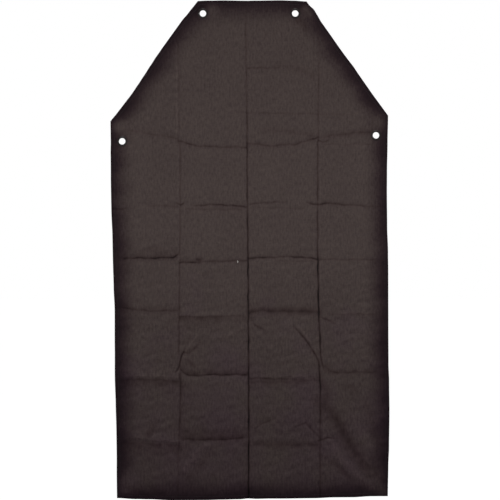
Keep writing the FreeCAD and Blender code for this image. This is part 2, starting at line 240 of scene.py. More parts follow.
SLANTED_FOLDS = [
    (0.8, 4, -0.26, 0, [(103, -672, 0.4), (116, -688, 1), (127, -704, 1), (141, -726, 0.3)]),
    (0.9, 5, -0.18, 0, [(-106, -684, 0.6), (-117, -702, 1), (-127, -717, 1), (-136, -732, 0.8)]),
    (-0.6, 5, 0.24, 0.12, [(-107, -712, 0.6), (-119, -726, 0.9), (-130, -738, 1), (-140, -735, 0.7)]),
    (0, 4, 0.14, 0, [(-114, -674, 0.5), (-126, -696, 0.8), (-140, -728, 1)]),
    (-1, 4, 0.74, 0, [(-141, -733, 0.6), (-146, -741, 1), (-149.5, -752, 1), (-151, -763, 1),
        (-155, -771, 0.8), (-160, -776, 0.5)]),
    (0, 5, 0, 0.22, [(-130, -753, 0.8), (-123, -761, 1), (-114, -767, 0.7)]),
    (-1.5, 14, 0.04, 0.32, [(152, -838, 0.6), (190, -885, 1), (217, -934, 1), (250, -978, 1),
        (286, -1016, 0.6)]),
    (0.8, 12, 0, -0.06, [(176, -822, 0.7), (222, -876, 1), (252, -930, 0.9), (284, -956, 0.6)]),
    (1.1, 10, 0, -0.13, [(162, -900, 0.5), (190, -952, 1), (232, -1000, 1), (268, -1030, 0.8)]),
    (-0.8, 7, 0.06, 0.2, [(168, -965, 0.6), (195, -984, 1), (222, -1006, 0.8)]),
    (1, 8, 0, -0.16, [(-96, -932, 0.7), (-118, -958, 1), (-140, -988, 0.8)]),
    (-0.7, 7, 0, 0.14, [(-80, -948, 0.6), (-104, -978, 1), (-130, -1004, 0.7)]),
    (-0.5, 4, 0.3, 0.06, [(14, -899, 0.8), (30, -889, 1), (47, -880, 0.6)]),
    (-0.5, 4, 0.32, 0.06, [(96, -896, 0.5), (122, -888, 1), (138, -903, 1), (156, -922, 1)]),
    (0.5, 4, -0.08, 0, [(-48, -700, 0.8), (-32, -689, 1), (-10, -682, 0.8)]),
    (-0.4, 4, 0.28, 0.04, [(6, -671, 0.8), (20, -679, 1), (34, -688, 0.6)]),
    (-0.4, 8, 0, 0.22, [(-218, -914, 1), (-205, -892, 0.8)]),
    (0, 9, 0, 0.12, [(214, -806, 1), (228, -816, 1)]),
    (-0.6, 8, 0, 0.16, [(158, -798, 0.9), (172, -822, 1), (160, -850, 0.6)]),
    (0, 8, 0, 0.3, [(104, -16, 0.8), (116, -23, 1), (124, -36, 0.6)]),
    # nicks where folds cross: small ridges with a painted highlight
    (0.6, 3, -0.16, 0, [(-162, -262, 0.4), (-152, -268, 1), (-144, -274, 0.5)]),
    (0.6, 3, -0.14, 0, [(140, -264, 0.5), (149, -274, 1), (158, -270, 0.5)]),
    (0.6, 3, -0.14, 0, [(144, -406, 0.6), (152, -410, 1), (148, -420, 0.5)]),
    (0.6, 3, -0.12, 0, [(-156, -520, 0.6), (-152, -530, 1), (-158, -540, 0.5)]),
    (0.6, 3, -0.14, 0, [(-250, -628, 0.4), (-246, -638, 1), (-240, -640, 0.6)]),
    (0.6, 3, -0.14, 0, [(152, -912, 0.5), (160, -916, 1), (154, -934, 0.6)]),
    (0, 9, 0, 0.12, [(252, -850, 0.6), (268, -905, 1), (281, -955, 0.8)]),
    (0.6, 8, 0, -0.12, [(255, -985, 0.6), (275, -1010, 1), (293, -1036, 1)]),
    (0, 10, 0, 0.14, [(-262, -1024, 0.6), (-230, -1036, 1), (-184, -1040, 0.7)]),
]
FOLDS = UPRIGHT_FOLDS + LEVEL_FOLDS + SLANTED_FOLDS

# where the painted rim shade is lighter, or is wider: x, z, radius, and how far the rim moves out
PAINTED_RIM_SHADE_CHANGES = [
    (-80, 9, 15, 22), (122, 9, 10, 26), (131, -4, 7, 14), (-282, -245, 16, 30), (-254, -246, 22, 12),
    (284, -236, 18, 22), (250, -186, 32, -6), (-278, -356, 24, 7), (-280, -400, 22, 7), (276, -419, 18, 7),
    (282, -860, 30, 8), (-264, -1018, 20, 18), (-274, -1037, 12, 14), (-240, -1004, 30, 8),
    (-60, -1042, 34, 7), (60, -1042, 40, 4), (276, -1013, 23, 26), (290, -1036, 11, 18),
]
RIM_SOFTNESS = 12

HIGHEST_RELIEF = 2.3
CRUMPLES = 14
CRUMPLE_LENGTHS = (13, 36)
CRUMPLING = 0.0045
LINE_WIDTH = 1.8
GROOVE_DEPTH = 0.3
GROOVE_WIDTH = 1.3
GROOVE_RANGE = (-0.6, 1)
LINING_GROOVE = 0.5
SEAM_GROOVE = 0.5
SEAM_GROOVE_WIDTH = 1.4
FOLD_ROUNDING = 1.5
EDGE_CURL = 1.3
EDGE_CURL_REACH = 16
# a fold's soft shade: how wide it is, as a share of the fold's reach, and how softly it starts at the fold
SHADE_ON_BOTH = 0.9
SHADE_ON_ONE = 1.3
SHADE_START = 1.2
LARGEST_EXPONENT = 30
# distances from an eyelet's centre: none of it up to the first, all of it beyond the second
FLAT_ROUND_EYELET = (PATCH + 2, PATCH + 28)
NO_GROOVE_ROUND_EYELET = (FLANGE, FLANGE + 6)
NO_BOW_ROUND_EYELET = (FLANGE + 1, FLANGE + 10)
BOW_REACH = 45

# waves over the flat cloth, as (height, x length, z length, phase)
SWELL = [(0.22, 29, 83, 2.0), (0.18, -120, 36, 0.4)]
SWELL_ACROSS = (1, 47, math.inf, 0.6)
SWELL_ALONG = (0.30, math.inf, 61, 1.1)
WANDER_X = [(0.35, math.inf, 9.1, 0.3), (0.21, 37, 4.3, 0)]
WANDER_Z = [(0.75, 8.3, math.inf, 1.9), (0.45, 3.7, 41, 0)]
UNEVEN = [(0.20, 6.1, 13, 0), (0.14, 3.4, -8.7, 1)]
RIM_WANDER = [(2.5, 61, 23, 0), (2, -37, 9.5, 0)]

# how far each side of the outline is out of true, clockwise from the top: (share of the way along, outwards)
BOWS = [
    [(0, 0.6), (0.10, 1.7), (0.25, 2.6), (0.45, 2.1), (0.54, 2.6), (0.75, 3.4), (0.88, 2.5), (1, 0.8)],
    [(0, 0.6), (0.03, 0.8), (0.08, 3.5), (0.12, 2.6), (0.18, 0.9), (0.26, 0.9), (0.41, 0.3), (0.49, 0.4),
     (0.57, 1.2), (0.65, 0.4), (0.73, 0), (0.81, -0.5), (1, -0.3)],
    [(0, 0.6), (0.07, -0.6), (0.15, -1.8), (0.20, -2.0), (0.29, -1.3), (0.36, 0.6), (0.42, 1.2), (0.55, 1.5),
     (0.65, 1.9), (0.70, 3.3), (0.78, 4.1), (0.87, 3.3), (0.92, 1.8), (1, 0.8)],
    [(0, 0), (0.06, 0), (0.13, 1.9), (0.20, 1.9), (0.27, 3.4), (0.39, 3.8), (0.44, 3.6), (0.48, 4.0),
     (0.515, 3.2), (0.55, 4.6), (0.62, 5.2), (0.67, 6.0), (0.79, 6.1), (0.88, 3.4), (0.93, 2.7), (1, 0.3)],
    [(0, 0.3), (0.05, 0.2), (0.12, -0.6), (0.18, -0.7), (0.25, -0.1), (0.32, 0.8), (0.40, -0.1), (0.50, -1.1),
     (0.56, 0.3), (0.64, 1.1), (0.69, 1.2), (0.77, 2.7), (0.83, 2.8), (0.91, 2.1), (0.95, 1.1), (1, 1.0)],
    [(0, 0.6), (0.08, -0.5), (0.15, -0.9), (0.23, -1.3), (0.30, -0.4), (0.38, 0.8), (0.46, 2.3), (0.53, 3.5),
     (0.62, 4.0), (0.83, 4.3), (0.90, 2.5), (0.98, 1.4), (1, 1.0)],
]


def smooth_step(value):
    value = np.clip(value, 0, 1)
    return value * value * (3 - 2 * value)


def smooth_through(points, share):
    """A smooth curve through points of (share, value)."""
    value = np.full(share.shape, float(points[0][1]))
    for (start, low), (end, high) in zip(points, points[1:]):
        value += (high - low) * smooth_step((share - start) / (end - start))
    return value


def waves(table, x, z):
    return sum(height * np.sin(x / x_length + z / z_length + phase)
               for height, x_length, z_length, phase in table)


def sides(corners):
    """The start, direction and length of each side of an outline."""
    for start, end in zip(corners, corners[1:] + corners[:1]):
        length = np.hypot(*(end - start))
        yield start, (end - start) / length, length


def edge_distances(x, z):
    """Distance inside each side of the outline, and the share of the way along it, for every point."""
    inside = []
    along = []
    for start, way, length in sides(CORNERS):
        inside.append((x - start[0]) * way[1] - (z - start[1]) * way[0])
        along.append(((x - start[0]) * way[0] + (z - start[1]) * way[1]) / length)
    return np.array(inside), np.array(along)


def near_fold(points, x, z):
    """Signed distance to a fold's line, positive on its left as it runs, and its strength where nearest."""
    best = np.full(x.shape, np.inf)
    side = np.zeros(x.shape)
    strength = np.zeros(x.shape)
    for (ax, az, a_strength), (bx, bz, b_strength) in zip(points, points[1:]):
        along_x, along_z = bx - ax, bz - az
        share = np.clip(((x - ax) * along_x + (z - az) * along_z) / (along_x ** 2 + along_z ** 2), 0, 1)
        distance = np.hypot(x - ax - share * along_x, z - az - share * along_z)
        nearer = distance < best
        best = np.where(nearer, distance, best)
        side = np.where(nearer, np.sign(along_x * (z - az) - along_z * (x - ax)), side)
        strength = np.where(nearer, a_strength + share * (b_strength - a_strength), strength)
    return best * side, strength


def soft_shade(distance, reach, side=0):
    """How strongly a fold's soft shade falls on each point, on both sides of the fold or mostly on one."""
    if not side:
        return np.exp(-(distance / (SHADE_ON_BOTH * reach)) ** 2)
    beside = distance * side
    start = np.clip(beside / SHADE_START, -LARGEST_EXPONENT, LARGEST_EXPONENT)
    return np.exp(-np.maximum(beside, 0) / (SHADE_ON_ONE * reach)) / (1 + np.exp(-start))


def clear_of_eyelets(x, z, inner, outer):
    """0 within inner of an eyelet's centre, 1 beyond outer."""
    clear = np.ones(x.shape)
    for centre in CENTRES.values():
        clear *= smooth_step((np.hypot(x - centre[0], z - centre[1]) - inner) / (outer - inner))
    return clear


def soft_swell(x, z):
    """The slow swell of cloth that has been folded and opened out, and its finer crumpling."""
    swell = waves([SWELL_ACROSS], x, z) * waves([SWELL_ALONG], x, z) + waves(SWELL, x, z)
    random = np.random.default_rng(seed=7)
    for _ in range(CRUMPLES):
        length = random.uniform(*CRUMPLE_LENGTHS)
        turn, phase = random.uniform(0, math.tau, 2)
        along = x * math.cos(turn) + z * math.sin(turn)
        swell += CRUMPLING * length * np.sin(along * math.tau / length + phase)
    return swell


def relief_of(x, z, inside):
    """How far the cloth stands towards the front, how deep its sharp lines are, and its painted shade and
    highlight (1 if even).
    """
    height = soft_swell(x, z)
    groove = np.zeros(x.shape)
    shade = np.ones(x.shape)
    # no fold runs quite straight, or is equally sharp all along
    wander_x = x + waves(WANDER_X, x, z)
    wander_z = z + waves(WANDER_Z, x, z)
    uneven = 1 + waves(UNEVEN, x, z)
    for depth, reach, line, soft, points, *side in FOLDS:
        distance, strength = near_fold(points, wander_x, wander_z)
        strength = strength * uneven
        away = np.hypot(distance, FOLD_ROUNDING) - FOLD_ROUNDING
        height += depth * strength * np.exp(-away / reach)
        # each fold's painted shade: a dark line along it and a soft shade beside it, a painted highlight
        # where below 0
        shade *= 1 - line * strength * np.exp(-(distance / LINE_WIDTH) ** 2)
        shade *= 1 - soft * strength * soft_shade(distance, reach, *side)
        groove += line * strength * np.exp(-(distance / GROOVE_WIDTH) ** 2)
    height -= EDGE_CURL * np.exp(-inside.min(0) / EDGE_CURL_REACH)
    height = HIGHEST_RELIEF * np.tanh(height / HIGHEST_RELIEF)
    height *= clear_of_eyelets(x, z, *FLAT_ROUND_EYELET)
    groove *= clear_of_eyelets(x, z, *NO_GROOVE_ROUND_EYELET)
    seam = np.exp(-((inside.min(0) - SEAM) / SEAM_GROOVE_WIDTH) ** 2)
    return height, GROOVE_DEPTH * np.clip(groove + SEAM_GROOVE * seam, *GROOVE_RANGE), shade


def bowed(x, z, inside, along):
    """The flat cut pulled a little out of true at its sides, as (x, z)."""
    clear = clear_of_eyelets(x, z, *NO_BOW_ROUND_EYELET)
    x = x.copy()
    z = z.copy()
    for number, (_, way, _) in enumerate(sides(CORNERS)):
        bow = smooth_through(BOWS[number], np.clip(along[number], 0, 1))
        bow = bow * np.exp(-(np.maximum(inside[number], 0) / BOW_REACH) ** 2) * clear
        x -= way[1] * bow
        z += way[0] * bow
    return x, z


# ---- the flat cut ----

# how far the grid is close-meshed: from a crease, from the right crease's left, and from a level fold
SIDE_FINE = 9
WIDE_FINE = 60
LEVEL_FINE = 8
GRID_EASE = 12
GRID_SAMPLES = 4000
# a fold with a weaker line than this needs no close grid
SLIGHT_LINE = 0.15
RAGGED_RIM = 6


def graded_lines(low, high, coarse, bands, kept=()):
    """Grid lines from low to high, coarse apart, and closer in each band (from, to, step), with kept ones."""
    fine = np.linspace(low, high, GRID_SAMPLES)
    step = np.full(fine.shape, float(coarse))
    for start, end, closer in bands:
        ramp = smooth_step(1 - np.maximum(start - fine, fine - end) / GRID_EASE)
        step = np.minimum(step, coarse + (closer - coarse) * ramp)
    count = np.concatenate([[0], np.cumsum((fine[1] - fine[0]) / step[:-1])])
    lines = np.interp(np.linspace(0, count[-1], int(count[-1]) + 1), count, fine)
    for line in kept:
        lines[np.abs(lines - line).argmin()] = line
    return lines


class FlatCut:
    """A mesh over the flat outline: its points (x, z) in millimetres and its faces."""

    def __init__(self, coarse, close, insets):
        left, low = np.min(CORNERS, axis=0) - 1
        right, top = np.max(CORNERS, axis=0) + 1
        columns = graded_lines(left, right, coarse, [
            (CREASES["left_crease"] - SIDE_FINE, CREASES["left_crease"] + SIDE_FINE, close),
            (CREASES["centre_crease"] - MIDDLE_BEND, CREASES["centre_crease"] + MIDDLE_BEND, close),
            (CREASES["right_crease"] - WIDE_FINE, CREASES["right_crease"] + SIDE_FINE, close),
        ], SPLITS)
        rows = graded_lines(low, top, coarse, [
            (lowest - LEVEL_FINE, highest + LEVEL_FINE, close) for lowest, highest in self.level_bands()
        ])
        self.build(columns, rows, insets)

    @staticmethod
    def level_bands():
        """The lowest and highest point of each fold that runs across."""
        bands = []
        for _, _, line, _, points, *_ in LEVEL_FOLDS + SLANTED_FOLDS:
            if line > SLIGHT_LINE:
                heights = [z for _, z, _ in points]
                bands.append((min(heights), max(heights)))
        return bands

    def build(self, columns, rows, insets):
        count = len(columns)
        verts = [(x, 0, z) for z in rows for x in columns]
        faces = []
        for row in range(len(rows) - 1):
            for column in range(count - 1):
                first = row * count + column
                faces.append((first, first + 1, first + count + 1, first + count))
        mesh = bpy.data.meshes.new("flat_cut")
        mesh.from_pydata(verts, [], faces)
        bm = bmesh.new()
        bm.from_mesh(mesh)
        for start, way, _ in sides(CORNERS):
            out = Vector((-way[1], 0, way[0]))
            at = Vector((start[0], 0, start[1]))
            self.slice(bm, at, out, clear=True)
            for inset in insets:
                self.slice(bm, at - out * inset, out, clear=False)
        bm.verts.ensure_lookup_table()
        self.points = np.array([(v.co.x, v.co.z) for v in bm.verts])
        self.faces = [[v.index for v in face.verts] for face in bm.faces]
        bm.free()
        bpy.data.meshes.remove(mesh)
        self.middles = np.array([self.points[face].mean(0) for face in self.faces])

    @staticmethod
    def slice(bm, at, out, clear):
        everything = bm.verts[:] + bm.edges[:] + bm.faces[:]
        bmesh.ops.bisect_plane(bm, geom=everything, dist=1e-4, plane_co=at, plane_no=out, clear_outer=clear)
        bm.verts.index_update()


class Region:
    """The part of a flat cut that one third of one layer takes up, and where its cloth lies."""

    def __init__(self, cut, third, hole, inset=0.0):
        number = list(THIRDS).index(third)
        middles = cut.middles
        inside, _ = edge_distances(middles[:, 0], middles[:, 1])
        wanted = (middles[:, 0] > THIRD_EDGES[number]) & (middles[:, 0] < THIRD_EDGES[number + 1])
        wanted &= inside.min(0) > inset
        for centre in CENTRES.values():
            wanted &= np.hypot(middles[:, 0] - centre[0], middles[:, 1] - centre[1]) > hole
        chosen = [cut.faces[i] for i in np.flatnonzero(wanted)]
        used = sorted({v for face in chosen for v in face})
        renumbered = {old: new for new, old in enumerate(used)}
        self.faces = [[renumbered[v] for v in face] for face in chosen]
        self.points = cut.points[used].copy()
        self.rim = self.open_edges()
        self.round_the_holes(hole)
        self.x, self.z = self.points.T
        self.inside, self.along = edge_distances(self.x, self.z)
        self.height, self.groove, self.shade = relief_of(self.x, self.z, self.inside)
        self.bowed_x, self.bowed_z = bowed(self.x, self.z, self.inside, self.along)

    def open_edges(self):
        """Directed edges that only one face uses."""
        directed = set()
        for face in self.faces:
            for a, b in zip(face, face[1:] + face[:1]):
                directed.add((a, b))
        return [(a, b) for a, b in directed if (b, a) not in directed]

    def round_the_holes(self, hole):
        """Moves the ragged rim round each eyelet onto a circle."""
        rim = sorted({v for edge in self.rim for v in edge})
        for centre in CENTRES.values():
            for v in rim:
                arm = self.points[v] - centre
                if np.hypot(*arm) < hole + RAGGED_RIM:
                    self.points[v] = centre + arm * (hole / np.hypot(*arm))

    def flat_size(self):
        return np.ptp(self.x) * MM, np.ptp(self.z) * MM

    def flat_area(self):
        total = 0.0
        for face in self.faces:
            x, z = self.x[face], self.z[face]
            total += abs(np.dot(x, np.roll(z, -1)) - np.dot(z, np.roll(x, -1))) / 2
        return total * MM * MM


# ---- layers ----

TOUCHING = 1e-6
# how far the covers reach in under an eyelet's flange, and how far short of the plies the allowance ends
UNDER_FLANGE = 3
SHORT_OF_PLY = 0.05


def shell(name, region, front, back, front_groove=0.0, back_groove=0.0):
    """A closed sheet over a region. front and back are how far behind the middle of the apron its faces are.
    Where they meet, at a folded edge, the faces share their points."""
    count = len(region.x)
    front_y = front - region.height + front_groove
    back_y = back - region.height - back_groove
    meet = np.abs(front - back) < TOUCHING
    points = np.concatenate([
        np.column_stack([region.bowed_x, front_y, region.bowed_z]),
        np.column_stack([region.bowed_x, back_y, region.bowed_z]),
    ]) * MM
    behind = np.where(meet, np.arange(count), np.arange(count) + count)
    faces = [face[:] for face in region.faces]
    faces += [[int(behind[v]) for v in reversed(face)] for face in region.faces]
    for a, b in region.rim:
        wall = list(dict.fromkeys([b, a, int(behind[a]), int(behind[b])]))
        if len(wall) > 2:
            faces.append(wall)
    return mesh_object(name, points, faces, len(region.faces) * 2, {
        "flat_cut": np.tile(np.column_stack([region.x, np.zeros(count), region.z]) * MM, (2, 1)),
        # the painted shade and highlight of the folds
        "shade": np.tile(region.shade, 2),
        # the distance in from the outline, which sets the painted rim shade
        "rim": np.tile(painted_rim_shade_distance(region.x, region.z, region.inside), 2) * MM,
    })


def painted_rim_shade_distance(x, z, inside):
    """The distance in from the outline for the painted rim shade: the outline with rounded corners, and the
    painted shade lighter or wider in places.
    """
    distance = np.maximum(-RIM_SOFTNESS * np.log(np.exp(-inside / RIM_SOFTNESS).sum(0)), 0)
    distance += waves(RIM_WANDER, x, z)
    for bare_x, bare_z, radius, lift in PAINTED_RIM_SHADE_CHANGES:
        distance += lift * np.exp(-((x - bare_x) ** 2 + (z - bare_z) ** 2) / radius ** 2)
    return np.maximum(distance, 0)


def new_object(name, data):
    made = bpy.data.objects.new(name, data)
    bpy.context.scene.collection.objects.link(made)
    return made


def mesh_object(name, points, faces, smooth_faces, attributes):
    """A mesh with no loose points. Faces after the first smooth_faces are rims, and keep a sharp edge."""
    mesh = bpy.data.meshes.new(name)
    mesh.from_pydata(points.tolist(), [], faces)
    for key, values in attributes.items():
        kind = "FLOAT_VECTOR" if values.ndim == 2 else "FLOAT"
        field = "vector" if values.ndim == 2 else "value"
        mesh.attributes.new(key, kind, "POINT").data.foreach_set(field, values.astype(np.float32).ravel())
    bm = bmesh.new()
    bm.from_mesh(mesh)
    bm.faces.ensure_lookup_table()
    for face in bm.faces:
        face.smooth = True
    for face in bm.faces[smooth_faces:]:
        for edge in face.edges:
            edge.smooth = False
    loose = [v for v in bm.verts if not v.link_faces]
    bmesh.ops.delete(bm, geom=loose, context="VERTS")
    bmesh.ops.recalc_face_normals(bm, faces=bm.faces[:])
    bm.to_mesh(mesh)
    bm.free()
    mesh.update()
    return new_object(name, mesh)


def bend(piece):
    """Moves the piece's placement into the points of its mesh."""
    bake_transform(piece)


def stands_for(piece, third, *layers):
    first, second, _ = THIRDS[third]
    nodes = []
    for layer in layers:
        nodes += [f"{layer}_{first}", f"{layer}_{second}"]
    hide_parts(*nodes)


def finish_sheet(piece, region, material):
    piece.data.materials.append(material)
    bend(piece)
    region.flat_size()
    region.flat_area()


def cover_profile(inside, side):
    """The outer and inner face of a cover, front (side -1) or back (side 1). At the outline the cloth rolls
    over and runs back in as the turned allowance, as far as ALLOWANCE, so it is twice as thick there."""
    distance = inside.min(0)
    roll = HALF / 2
    turned = np.clip(roll - distance, 0, roll)
    bulge = np.sqrt(np.maximum(roll ** 2 - turned ** 2, 0))
    outer = roll + bulge
    inner = np.where(distance < ALLOWANCE - SHORT_OF_PLY, roll - bulge, HALF - COVER)
    return side * outer, side * inner


def build_covers(cut, materials):
    for third in THIRDS:
        region = Region(cut, third, FLANGE - UNDER_FLANGE)
        outer, inner = cover_profile(region.inside, -1)
        piece = shell(f"front_cover_{third}", region, outer, inner, front_groove=region.groove)
        stands_for(piece, third, "front_cover", "turned_allowance")
        finish_sheet(piece, region, materials["cover"])
        outer, inner = cover_profile(region.inside, 1)
        piece = shell(f"lining_{third}", region, inner, outer, back_groove=LINING_GROOVE * region.groove)
        stands_for(piece, third, "back_cover", "turned_allowance")
        finish_sheet(piece, region, materials["lining"])


def build_plies(cut, materials):
    for third in THIRDS:
        region = Region(cut, third, PATCH, inset=ALLOWANCE)
        flat = np.zeros(len(region.x))
        for name, front, back in (("lead_ply_front", -PLY, 0), ("lead_ply_back", 0, PLY)):
            piece = shell(f"{name}_{third}", region, flat + front, flat + back)
            stands_for(piece, third, name)
            finish_sheet(piece, region, materials["vinyl"])


# ---- stitches ----

STITCH_PITCH = 3.6
STITCH_LENGTH = 2.9
STITCH_STATIONS = 7
# the section of a stitch, as (across, rise)
STITCH_SECTION = ((-1, 0), (-0.7, 0.7), (0, 1), (0.7, 0.7), (1, 0), (0, -0.3))
THREAD_RISE = 0.34
THREAD_SINK = 0.12
LINT = (-25.2, -537.9)
LINT_LENGTH = 5.0
LINT_WIDTH = 1.6
LINT_TIP = 0.35
LINT_BOW = 0.9
LINT_SINK = 0.25
LINT_FLATNESS = 0.5
LINT_STATIONS = 9
LINT_AROUND = 6


def seam_corners():
    """The corners of the line of stitches, inside the outline."""
    inward = [np.array((way[1], -way[0])) for _, way, _ in sides(CORNERS)]
    corners = []
    for number, corner in enumerate(CORNERS):
        halfway = inward[number - 1] + inward[number]
        corners.append(corner + halfway * (SEAM / (halfway @ inward[number - 1])))
    return corners


def stitch_places():
    """The middle and direction of every stitch round the apron."""
    places = []
    for start, way, length in sides(seam_corners()):
        number = int(length // STITCH_PITCH)
        for step in range(number):
            places.append((start + way * (step + 0.5) * length / number, way))
    return places


def stitch_grid():
    """One stitch as rings of (along, across, rise) that sink into the cloth at both ends."""
    rings = []
    for station in np.linspace(-1, 1, STITCH_STATIONS):
        swell = math.sqrt(max(1 - station ** 4, 0))
        along, wide, high = station * STITCH_LENGTH / 2, THREAD_WIDTH / 2 * swell, THREAD_RISE * swell
        rings.append([(along, across * wide, rise * high - THREAD_SINK) for across, rise in STITCH_SECTION])
    return np.array(rings)


def tube_faces(first, stations, around):
    """The faces of a tube closed at both ends, whose rings of points are numbered from first on."""
    faces = []
    for ring in range(stations - 1):
        for corner in range(around):
            a = first + ring * around + corner
            b = first + ring * around + (corner + 1) % around
            faces.append((a, b, b + around, a + around))
    faces.append([first + corner for corner in range(around)])
    faces.append([first + (stations - 1) * around + corner for corner in reversed(range(around))])
    return faces


def build_stitches(side, name, layer, material):
    """The rows of stitches on one face of the apron: side is -1 for the front and 1 for the back."""
    grid = stitch_grid()
    stations, around, _ = grid.shape
    for number, third in enumerate(THIRDS):
        points = []
        faces = []
        for middle, way in stitch_places():
            if not THIRD_EDGES[number] < middle[0] < THIRD_EDGES[number + 1]:
                continue
            first = len(points)
            across = np.array((way[1], -way[0]))
            for along_it, beside, rise in grid.reshape(-1, 3):
                flat = middle + way * along_it + across * beside
                points.append((flat[0], rise, flat[1]))
            faces += tube_faces(first, stations, around)
        points = np.array(points)
        inside, along = edge_distances(points[:, 0], points[:, 2])
        height, groove, _ = relief_of(points[:, 0], points[:, 2], inside)
        x, z = bowed(points[:, 0], points[:, 2], inside, along)
        sunk = groove if side < 0 else LINING_GROOVE * groove
        y = side * (HALF + points[:, 1] - sunk) - height
        placed = np.column_stack([x, y, z]) * MM
        piece = mesh_object(f"{name}_{third}", placed, faces, len(faces), {})
        piece.data.materials.append(material)
        stands_for(piece, third, layer)
        bend(piece)


def build_lint(material):
    """A short pale fibre caught in the level crease left of the centre."""
    x, z = LINT
    inside, _ = edge_distances(np.array([x]), np.array([z]))
    height, _, _ = relief_of(np.array([x]), np.array([z]), inside)
    front = -HALF - float(height[0])
    points = []
    for station in range(LINT_STATIONS):
        share = station / (LINT_STATIONS - 1)
        swell = math.sin(share * math.pi)
        thick = LINT_WIDTH / 2 * (LINT_TIP + (1 - LINT_TIP) * swell)
        for corner in range(LINT_AROUND):
            turn = corner / LINT_AROUND * math.tau
            points.append((x + LINT_BOW * swell + thick * math.cos(turn),
                           front - LINT_SINK + thick * LINT_FLATNESS * math.sin(turn),
                           z + LINT_LENGTH * (share - 0.5)))
    faces = tube_faces(0, LINT_STATIONS, LINT_AROUND)
    lint = mesh_object("lint", np.array(points) * MM, faces, len(faces), {})
    lint.data.materials.append(material)
    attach(lint, "left_centre")


# ---- materials ----

# Blender's wave texture repeats this many times in a length of tau, at scale 1
WAVE_SHARE = 20


class Nodes:
    """A short way to write a material's nodes."""

    def __init__(self, name, roughness, specular):
        self.material = bpy.data.materials.new(name)
        self.material.use_nodes = True
        self.tree = self.material.node_tree
        self.shader = self.tree.nodes["Principled BSDF"]
        self.fill(self.shader, {"Roughness": roughness, "Specular IOR Level": specular})

    def fill(self, node, inputs):
        """Gives each input its value, or links it to another node's output."""
        for key, value in inputs.items():
            if isinstance(value, bpy.types.NodeSocket):
                self.tree.links.new(value, node.inputs[key])
            else:
                node.inputs[key].default_value = value

    def add(self, kind, inputs, **settings):
        node = self.tree.nodes.new(kind)
        for key, value in settings.items():
            setattr(node, key, value)
        self.fill(node, inputs)
        return node

    def attribute(self, name, output):
        return self.add("ShaderNodeAttribute", {}, attribute_name=name).outputs[output]

    def place(self):
        return self.add("ShaderNodeTexCoord", {}).outputs["Object"]

    def scaled(self, vector, scale):
        return self.add("ShaderNodeMapping", {"Vector": vector, "Scale": scale}).outputs["Vector"]

    def noise(self, vector, scale, detail, roughness=0.5):
        inputs = {"Vector": vector, "Scale": scale, "Detail": detail, "Roughness": roughness}
        return self.add("ShaderNodeTexNoise", inputs).outputs["Fac"]

    def ridges(self, vector, direction, pitch):
        """Even ridges across a direction, lowest at its zero."""
        inputs = {"Vector": vector, "Scale": math.tau / WAVE_SHARE / pitch}
        return self.add("ShaderNodeTexWave", inputs, bands_direction=direction).outputs["Fac"]

    def weave(self, flat, warp_pitch, weft_pitch):
        """The height of a plain weave: each thread passes over one thread and under the next."""
        warp = self.math("SUBTRACT", 1, self.ridges(flat, "X", warp_pitch))
        weft = self.math("SUBTRACT", 1, self.ridges(flat, "Z", weft_pitch))
        by_warp = self.spread(self.ridges(flat, "X", 2 * warp_pitch), -1, 1)
        by_weft = self.spread(self.ridges(flat, "Z", 2 * weft_pitch), -0.5, 0.5)
        over = self.math("ADD", self.times(by_warp, by_weft), 0.5)
        under = self.math("SUBTRACT", 1, over)
        return self.math("ADD", self.times(warp, over), self.times(weft, under))

    def math(self, operation, first, second):
        return self.add("ShaderNodeMath", {0: first, 1: second}, operation=operation).outputs["Value"]

    def times(self, first, second):
        return self.math("MULTIPLY", first, second)

    def spread(self, value, low, high, from_low=0.0, from_high=1.0, shape="LINEAR"):
        inputs = {"Value": value, "From Min": from_low, "From Max": from_high, "To Min": low, "To Max": high}
        return self.add("ShaderNodeMapRange", inputs, interpolation_type=shape).outputs["Result"]

    def ramp(self, value, stops):
        node = self.add("ShaderNodeValToRGB", {"Fac": value})
        elements = node.color_ramp.elements
        while len(elements) < len(stops):
            elements.new(0.5)
        for element, (position, colour) in zip(elements, stops):
            element.position = position
            element.color = (*colour, 1)
        return node.outputs["Color"]

    def mixed_with(self, colour, tint, factor):
        """A colour multiplied by a tint, as far as the factor says."""
        inputs = {"Factor": factor, "A": colour, "B": (*tint, 1)}
        return self.add("ShaderNodeMix", inputs, data_type="RGBA", blend_type="MULTIPLY").outputs["Result"]

    def dimmed(self, colour, value):
        """A colour made lighter or darker by a value."""
        inputs = {0: colour, "Scale": value}
        return self.add("ShaderNodeVectorMath", inputs, operation="SCALE").outputs["Vector"]

    def bump(self, height, distance, strength, under=None):
        inputs = {"Height": height, "Distance": distance, "Strength": strength}
        if under:
            inputs["Normal"] = under
        return self.add("ShaderNodeBump", inputs).outputs["Normal"]

    def wear(self, colour, roughness, normal):
        inputs = {"Base Color": colour, "Roughness": roughness, "Normal": normal}
        self.fill(self.shader, {name: value for name, value in inputs.items() if value})
        return self.material


